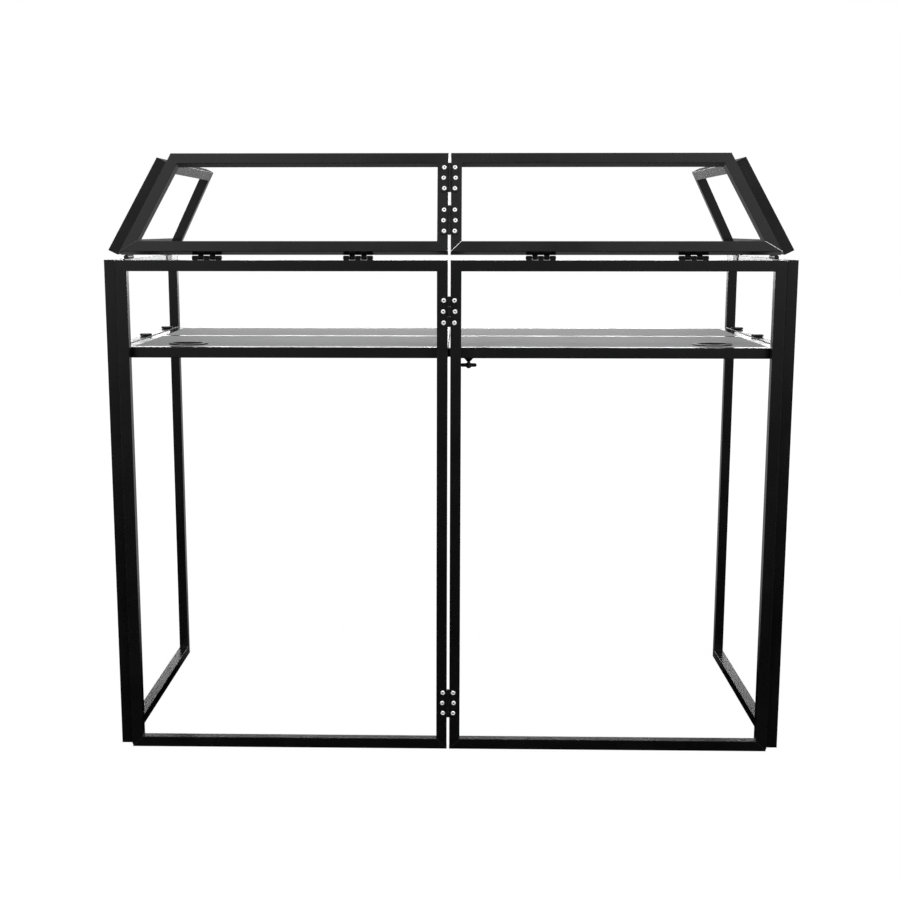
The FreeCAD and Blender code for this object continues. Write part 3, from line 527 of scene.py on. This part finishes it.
def frame_outline(node, along, up, out):
    """A frame's four outer corners in its own plane, and how far out its inner face lies."""
    verts = [vert.co for vert in nodes[node].data.vertices]
    corners = []
    for level, ends in ((min, (min, max)), (max, (max, min))):
        height = level(up.dot(place) for place in verts)
        rail = [along.dot(place) for place in verts if abs(up.dot(place) - height) < LEVEL_REACH]
        corners += [Vector((end(rail), height)) for end in ends]
    return corners, min(out.dot(place) for place in verts)


def seam_loop(corner, before, after):
    """Rows of (place, depth, way, rise) round the section on a corner's mitre, and the way across."""
    to_before = (before - corner).normalized()
    to_after = (after - corner).normalized()
    mitre = (to_before + to_after).normalized()
    slant = abs(to_before.cross(mitre))
    length = TUBE / slant
    arc = TUBE_ROUND / slant
    loop = []
    for quarter in range(4):
        far = quarter in (0, 3)
        high = quarter in (0, 1)
        middle = length - arc if far else arc
        depth = TUBE - TUBE_ROUND if high else TUBE_ROUND
        for step in range(ARC_STEPS + 1):
            turn = math.pi / 2 * (quarter + step / ARC_STEPS)
            way = mitre * math.cos(turn)
            rise = math.sin(turn)
            loop.append((corner + mitre * middle + way * arc, depth + TUBE_ROUND * rise, way, rise))
    return loop, Vector((-mitre.y, mitre.x))


def evenly_stepped(loop):
    """The loop with its straight runs divided into short steps."""
    stepped = []
    for index, (flat, depth, way, rise) in enumerate(loop):
        next_flat, next_depth = loop[(index + 1) % len(loop)][:2]
        gap = math.hypot((next_flat - flat).length, next_depth - depth)
        parts = max(1, int(gap / BEAD_STEP))
        for part in range(parts):
            share = part / parts
            here = depth + (next_depth - depth) * share
            stepped.append((flat.lerp(next_flat, share), here, way, rise))
    return stepped


def seam_bead(points, faces, loop, across, place, half_width):
    """An uneven bead, half sunk in the tube, along a loop round the section."""
    start = len(points)
    rows = evenly_stepped(loop)
    for index, (flat, depth, way, rise) in enumerate(rows):
        waves = sum(share * math.sin(index * turn + first) for share, turn, first in BEAD_WAVES)
        swell = half_width * (1.0 + waves)
        for step in range(BEAD_SIDES):
            turn = 2.0 * math.pi * step / BEAD_SIDES
            lift = math.cos(turn) * swell * BEAD_RISE - BEAD_SUNK
            aside = math.sin(turn) * swell
            points.append(place(flat + way * lift + across * aside, depth + rise * lift))
    for index in range(len(rows)):
        following = (index + 1) % len(rows)
        join_rings(faces, start + index * BEAD_SIDES, start + following * BEAD_SIDES, BEAD_SIDES)


def seam_placing(sign, along, up, out, inner):
    """Turns a place in a frame's own plane and depth into one in the booth, flush at the floor."""
    def place(flat, depth):
        point = along * flat.x + up * flat.y + out * (inner + depth)
        return Vector((sign * point.x, point.y, max(point.z, cad_low.z)))
    return place


for frame_name, (along, up, out) in MITRED.items():
    corners, inner = frame_outline(frame_name + "_frame_right", along, up, out)
    slot = "table_rail" if frame_name == "table" else "frame_black"
    for side, sign in SIDES:
        placing = seam_placing(sign, along, up, out, inner)
        body = "table" if frame_name == "table" else frame_name + "_" + side
        points = []
        faces = []
        for index, corner in enumerate(corners):
            if (frame_name, index) == SQUARE:
                continue
            loop, across = seam_loop(corner, corners[index - 1], corners[(index + 1) % 4])
            if (frame_name, side, index) not in LIGHT_SEAMS:
                seam_bead(points, faces, loop, across, placing, BEAD_HALF)
                continue
            name, finish, half_width = LIGHT_SEAMS[frame_name, side, index]
            light_points = []
            light_faces = []
            seam_bead(light_points, light_faces, loop, across, placing, half_width)
            add_piece(name, light_points, facing_out(light_faces, sign), finish, body)
        add_piece(frame_name + "_seams_" + side, points, facing_out(faces, sign), slot, body)

# Thin buffer strips up the outer faces of the front posts, in the gap beside the side frames
STRIP_SUNK = 0.0001
STRIP_RISE = 0.0018
STRIP_WIDTH = 0.008
STRIP_FROM_FRONT = 0.0006
STRIP_FROM_FLOOR = 0.003
STRIP_FROM_TOP = 0.0015
STRIP_FACE = front_high.x - STRIP_SUNK
STRIP_MIDDLE = front_low.y + STRIP_FROM_FRONT + STRIP_WIDTH / 2
STRIP_FOOT = front_low.z + STRIP_FROM_FLOOR
STRIP_HEAD = front_high.z - STRIP_FROM_TOP
STRIP_STEPS = 13
STRIP_FLATNESS = 0.35
STRIP_END = 0.0015
STRIP_END_SHARE = 0.55


def buffer_strip(sign):
    """A flat-topped strip with rounded shoulders and tapered ends."""
    rows = (
        (STRIP_FOOT, STRIP_END_SHARE),
        (STRIP_FOOT + STRIP_END, 1.0),
        (STRIP_HEAD - STRIP_END, 1.0),
        (STRIP_HEAD, STRIP_END_SHARE),
    )
    points = []
    faces = []
    for level, share in rows:
        for step in range(STRIP_STEPS):
            turn = math.pi * step / (STRIP_STEPS - 1)
            out = STRIP_FACE + STRIP_RISE * share * math.sin(turn) ** STRIP_FLATNESS
            back = STRIP_MIDDLE - STRIP_WIDTH / 2 * share * math.cos(turn)
            points.append(Vector((sign * out, back, level)))
    last = (len(rows) - 1) * STRIP_STEPS
    for row in range(0, last, STRIP_STEPS):
        join_rings(faces, row, row + STRIP_STEPS, STRIP_STEPS)
    faces.append(tuple(reversed(range(STRIP_STEPS))))
    faces.append(tuple(last + step for step in range(STRIP_STEPS)))
    return points, facing_out(faces, sign)


for side, sign in SIDES:
    points, faces = buffer_strip(sign)
    add_piece("corner_buffer_" + side, points, faces, "buffer", "front_" + side)

# Floor, world and lamps
WHITE = grey(1.0)
FLOOR_HALF = 14.0
FLOOR_DROP = 0.0002
FLOOR_PAPER = grey(0.55)
FLOOR_WHITE = 1.05
# Each ramp below says from, to, and the level at each
# The floor in reflections, behind and before the booth
FLOOR_BEHIND = (0.2, 1.2, 0.0, 0.5)
FLOOR_BEFORE = (-2.4, -13.0, 0.0, 0.36)
# How white the floor is to the camera, by the distance from the booth's middle; the rest shows the shadow
FLOOR_CLEAR = (0.8, 2.2, 0.92, 1.0)
SKY_PLAIN = 0.08
SKY_WHITE = 1.0
# The sky in reflections, before the booth by height and by width, and behind it by height
SKY_RISING = (0.0, 0.58, 0.5, 0.55)
SKY_HIGH = (0.62, 0.80, 0.0, 1.2)
SKY_WIDE = (0.08, 0.24, 0.70, 2.8)
SKY_REAR = (0.10, 0.26, 0.40, 0.26)
# Where the sky before the booth gives way to the one behind it
SKY_TURN = (-0.35, 0.15)


def seen_level(tree, plain, white, mirrored):
    """One level for plain rays, one straight to the camera or through glass, one in reflections."""
    path = add_node(tree, "ShaderNodeLightPath").outputs
    straight = math_node(tree, "MAXIMUM", path["Is Camera Ray"], path["Is Transmission Ray"])
    direct = ramp(tree, straight, 0.0, 1.0, plain, white)
    return ramp(tree, path["Is Glossy Ray"], 0.0, 1.0, direct, mirrored)


def floor_paper():
    """White paper that keeps the booth's shadow."""
    material = bpy.data.materials.new("studio_floor")
    material.use_nodes = True
    tree = material.node_tree
    tree.nodes.clear()
    paper = add_node(tree, "ShaderNodeBsdfDiffuse")
    paper.inputs["Color"].default_value = FLOOR_PAPER
    white = add_node(tree, "ShaderNodeEmission")
    white.inputs["Color"].default_value = WHITE
    where = add_node(tree, "ShaderNodeNewGeometry").outputs["Position"]
    depth = split_xyz(tree, where)["Y"]
    behind = ramp(tree, depth, *FLOOR_BEHIND)
    before = ramp(tree, depth, *FLOOR_BEFORE)
    mirrored = math_node(tree, "ADD", behind, before)
    feed(tree, white.inputs["Strength"], seen_level(tree, 0.0, FLOOR_WHITE, mirrored))
    away = add_node(tree, "ShaderNodeVectorMath", operation="LENGTH")
    feed(tree, away.inputs[0], where)
    clear = ramp(tree, away.outputs["Value"], *FLOOR_CLEAR)
    both = add_node(tree, "ShaderNodeMixShader")
    feed(tree, both.inputs[0], seen_level(tree, 0.0, clear, 1.0))
    tree.links.new(paper.outputs[0], both.inputs[1])
    tree.links.new(white.outputs[0], both.inputs[2])
    end = add_node(tree, "ShaderNodeOutputMaterial")
    tree.links.new(both.outputs[0], end.inputs["Surface"])
    return material


def studio_floor():
    """One large sheet just under the booth's feet."""
    rim = FLOOR_HALF
    corners = [(-rim, -rim, 0), (rim, -rim, 0), (rim, rim, 0), (-rim, rim, 0)]
    mesh = bpy.data.meshes.new("studio_floor")
    mesh.from_pydata(corners, [], [(0, 1, 2, 3)])
    mesh.materials.append(floor_paper())
    floor = bpy.data.objects.new("studio_floor", mesh)
    floor.location.z = cad_low.z - FLOOR_DROP
    bpy.context.scene.collection.objects.link(floor)


def studio_world():
    """White to the camera, dim to plain rays, graded in reflections."""
    world = bpy.data.worlds.new("studio_world")
    world.use_nodes = True
    tree = world.node_tree
    tree.nodes.clear()
    way = split_xyz(tree, add_node(tree, "ShaderNodeTexCoord").outputs["Generated"])
    rising = ramp(tree, way["Z"], *SKY_RISING)
    high = ramp(tree, way["Z"], *SKY_HIGH)
    wide = ramp(tree, math_node(tree, "ABSOLUTE", way["X"]), *SKY_WIDE)
    front = math_node(tree, "MULTIPLY", math_node(tree, "ADD", rising, high), wide)
    rear = ramp(tree, way["Z"], *SKY_REAR)
    mirrored = ramp(tree, way["Y"], *SKY_TURN, front, rear)
    sky = add_node(tree, "ShaderNodeBackground")
    sky.inputs["Color"].default_value = WHITE
    feed(tree, sky.inputs["Strength"], seen_level(tree, SKY_PLAIN, SKY_WHITE, mirrored))
    end = add_node(tree, "ShaderNodeOutputWorld")
    tree.links.new(sky.outputs[0], end.inputs["Surface"])
    bpy.context.scene.world = world


def softbox(name, place, aim, width, height, watts, mirrored):
    """A rectangular lamp turned to its aim, hidden from the camera."""
    lamp = bpy.data.lights.new(name, "AREA")
    lamp.shape = "RECTANGLE"
    lamp.size = width
    lamp.size_y = height
    lamp.energy = watts
    holder = bpy.data.objects.new(name, lamp)
    holder.location = place
    holder.rotation_euler = (Vector(aim) - Vector(place)).to_track_quat("-Z", "Y").to_euler()
    holder.visible_camera = False
    holder.visible_glossy = mirrored
    bpy.context.scene.collection.objects.link(holder)


FRONT_AIM = (0.0, -0.3, 0.8)
HIGH_AIM = (0.0, -0.3, 0.9)
TABLE_AIM = (0.0, 0.0, 0.8)
REAR_AIM = (0.0, 0.0, 1.2)
# Lamps: name, place, aim, width, height, watts, and whether it shows in reflections
LAMPS = (
    ("left_softbox", (-1.94, -3.2, 1.78), FRONT_AIM, 2.4, 1.6, 46.0, False),
    ("right_softbox", (1.28, -3.2, 1.86), FRONT_AIM, 2.4, 1.6, 46.0, False),
    ("high_left_softbox", (-1.25, -3.2, 5.5), HIGH_AIM, 3.2, 2.8, 84.0, False),
    ("high_right_softbox", (1.7, -3.2, 5.4), HIGH_AIM, 3.2, 2.8, 84.0, False),
    ("top_panel", (0.0, 2.6, 2.6), TABLE_AIM, 5.0, 2.0, 88.0, False),
    ("rear_panel", (0.0, 8.0, 1.2), REAR_AIM, 9.0, 0.8, 155.0, True),
)
studio_floor()
studio_world()
for lamp_row in LAMPS:
    softbox(*lamp_row)

# Camera at the photograph's viewing angle
CAMERA_SENSOR = 36.0
CAMERA_LENS = 58.6355
CAMERA_SHIFT_X = 0.027968
CAMERA_SHIFT_Y = 0.052438
CAMERA_PLACE = (0.02088, -3.02581, 0.99174)
CAMERA_TILT = math.radians(79.6212)
CAMERA_TURN = math.radians(1.3838)
camera_data = bpy.data.cameras.new("photo_camera")
camera_data.sensor_width = CAMERA_SENSOR
camera_data.lens = CAMERA_LENS
camera_data.shift_x = CAMERA_SHIFT_X
camera_data.shift_y = CAMERA_SHIFT_Y
camera = bpy.data.objects.new("photo_camera", camera_data)
camera.location = CAMERA_PLACE
camera.rotation_euler = (CAMERA_TILT, 0.0, CAMERA_TURN)
bpy.context.scene.collection.objects.link(camera)
bpy.context.scene.camera = camera
bpy.context.scene.view_settings.view_transform = "Standard"
